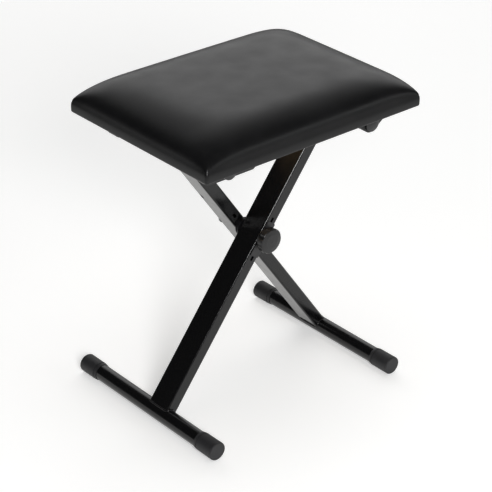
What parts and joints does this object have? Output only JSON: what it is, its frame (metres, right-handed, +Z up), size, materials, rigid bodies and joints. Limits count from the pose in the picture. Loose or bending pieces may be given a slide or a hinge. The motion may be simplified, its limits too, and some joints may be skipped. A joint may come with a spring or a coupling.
{
  "type": "folding piano bench",
  "caption": "Low folding bench with a padded rectangular seat on two crossed tube legs, a clamp knob at the crossing and capped foot bars.",
  "frame": {"origin": "on the floor, below the middle of the seat", "axes": "+Z up; X along the seat, in the plane in which the legs cross; Y across it, with the knob at -Y"},
  "size_m": [0.4, 0.304, 0.4903],
  "materials": {
    "black_vinyl": "smooth satin vinyl with a fine grain",
    "cushion_foam": "open-cell foam",
    "plywood": "raw plywood",
    "black_enamelled_steel": "gloss black baked coating",
    "cap_rubber": "matt black moulded rubber",
    "plug_plastic": "satin black moulded plastic",
    "fitting_nylon": "satin black moulded nylon",
    "black_pressed_steel": "satin black coating",
    "collar_plastic": "satin black moulded nylon",
    "knob_plastic": "satin black moulded plastic",
    "clutch_steel": "black oxide",
    "zinc_plated_steel": "bright zinc plating"
  },
  "bodies": {
    "seat": {"seat_board": "plywood", "seat_foam": "cushion_foam", "seat_cover": "black_vinyl", "cover_staples": "zinc_plated_steel", "front_saddle": "fitting_nylon", "rear_saddle": "fitting_nylon", "saddle_screws": "zinc_plated_steel", "front_rail": "fitting_nylon", "rear_rail": "fitting_nylon", "rail_screws": "zinc_plated_steel"},
    "front_leg": {"front_leg_tube": "black_enamelled_steel", "left_foot_bar": "black_enamelled_steel", "right_top_bar": "black_enamelled_steel", "left_front_foot_cap": "cap_rubber", "left_rear_foot_cap": "cap_rubber", "right_front_plug": "plug_plastic", "right_rear_plug": "plug_plastic", "front_leg_sleeve": "zinc_plated_steel", "front_clutch_disc": "clutch_steel", "clutch_spring": "clutch_steel", "lock_plate": "black_pressed_steel", "lock_collar": "collar_plastic"},
    "rear_leg": {"rear_leg_tube": "black_enamelled_steel", "right_foot_bar": "black_enamelled_steel", "left_top_bar": "black_enamelled_steel", "right_front_foot_cap": "cap_rubber", "right_rear_foot_cap": "cap_rubber", "left_front_plug": "plug_plastic", "left_rear_plug": "plug_plastic", "rear_leg_sleeve": "zinc_plated_steel", "rear_clutch_disc": "clutch_steel", "pivot_bolt": "zinc_plated_steel", "bolt_washer": "zinc_plated_steel"},
    "clamp_washer": {"thrust_washer": "zinc_plated_steel"},
    "knob": {"lock_knob": "knob_plastic", "knob_insert": "zinc_plated_steel"}
  },
  "joints": [
    {"name": "seat_pivot", "type": "hinge", "parent": "seat", "child": "front_leg", "pos_m": [0.128, 0, 0.42579], "axis": [0, 1, 0], "range_deg": [-30, 4.5]},
    {"name": "scissor", "type": "hinge", "parent": "front_leg", "child": "rear_leg", "pos_m": [0, 0, 0.25243], "axis": [0, 1, 0], "range_deg": [-9, 60]},
    {"name": "knob_lift", "type": "slide", "parent": "front_leg", "child": "clamp_washer", "axis": [0, -1, 0], "range_m": [0, 0.00301]},
    {"name": "knob_turn", "type": "hinge", "parent": "clamp_washer", "child": "knob", "pos_m": [0, -0.055, 0.25243], "axis": [0, -1, 0], "range_deg": [0, 720]}
  ],
  "couplings": [
    {"joint": "seat_pivot", "follows": "scissor", "ratio": -0.5},
    {"joint": "knob_lift", "follows": "knob_turn", "m_per_rad": 0.00023873}
  ]
}
